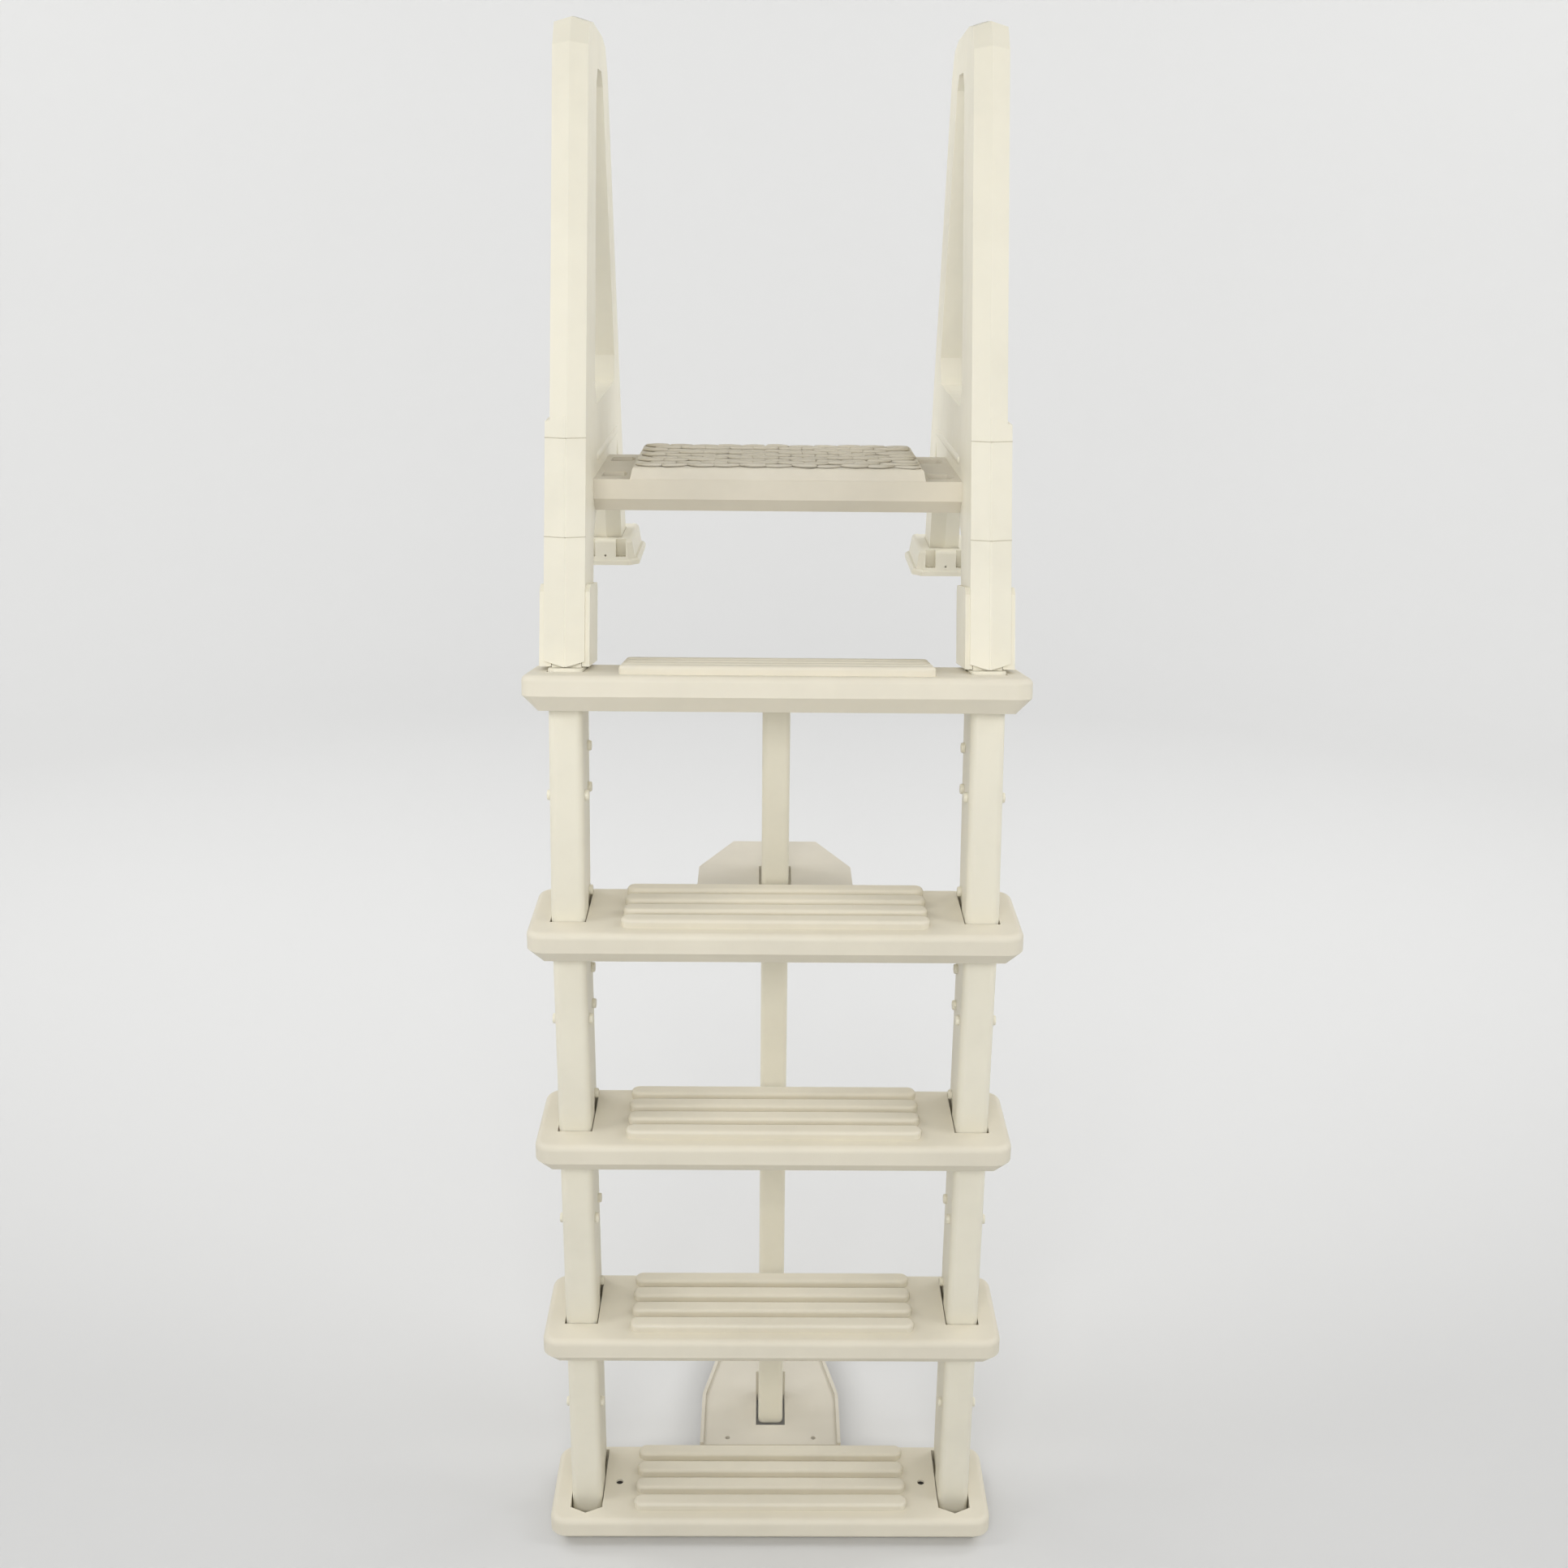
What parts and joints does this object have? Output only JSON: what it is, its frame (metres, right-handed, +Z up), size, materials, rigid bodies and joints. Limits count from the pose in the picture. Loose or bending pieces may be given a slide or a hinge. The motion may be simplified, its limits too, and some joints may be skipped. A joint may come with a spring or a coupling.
{
  "type": "pool ladder",
  "caption": "Deck-mounted resin pool ladder with side rails, ribbed treads, tall loop handrails, a platform and a centre strut.",
  "frame": {"origin": "middle of the bottom tread's underside, where the ladder rests on the pool floor", "axes": "+Z up, +X to the right of a bather facing the deck, +Y towards the deck"},
  "size_m": [0.613, 0.803, 1.984],
  "materials": {
    "resin": "moulded satin, fine grain",
    "stainless": "brushed",
    "dark_plug": "matt"
  },
  "bodies": {
    "ladder": {"tread_1": "resin", "tread_2": "resin", "tread_3": "resin", "tread_4": "resin", "tread_5": "resin", "side_rail_left": "resin", "rail_foot_left": "resin", "front_pins_left": "resin", "rear_pins_left": "resin", "tread_locks_left": "resin", "side_rail_right": "resin", "rail_foot_right": "resin", "front_pins_right": "resin", "rear_pins_right": "resin", "tread_locks_right": "resin", "centre_strut": "resin", "upper_bracket": "resin", "lower_bracket": "resin", "upper_bracket_strut_screws": "stainless", "upper_bracket_tread_screws": "stainless", "lower_bracket_strut_screws": "stainless", "lower_bracket_tread_screws": "stainless", "fill_plugs": "dark_plug"},
    "handrail_unit": {"handrail_left": "resin", "handrail_right": "resin", "platform": "resin", "platform_bolts": "stainless", "platform_nuts": "stainless", "height_screw_left": "resin", "height_screw_right": "resin"},
    "left_flange": {"deck_flange_left": "resin", "flange_screw_left": "stainless"},
    "right_flange": {"deck_flange_right": "resin", "flange_screw_right": "stainless"}
  },
  "joints": [
    {"name": "handrail_height", "type": "slide", "parent": "ladder", "child": "handrail_unit", "axis": [0, 0.319, 0.9478], "range_m": [0, 0.15]},
    {"name": "flange_left_slide", "type": "slide", "parent": "handrail_unit", "child": "left_flange", "axis": [0, -0.2241, 0.9746], "range_m": [-0.012, 0.06]},
    {"name": "flange_right_slide", "type": "slide", "parent": "handrail_unit", "child": "right_flange", "axis": [0, -0.2241, 0.9746], "range_m": [0, 0.06]}
  ]
}
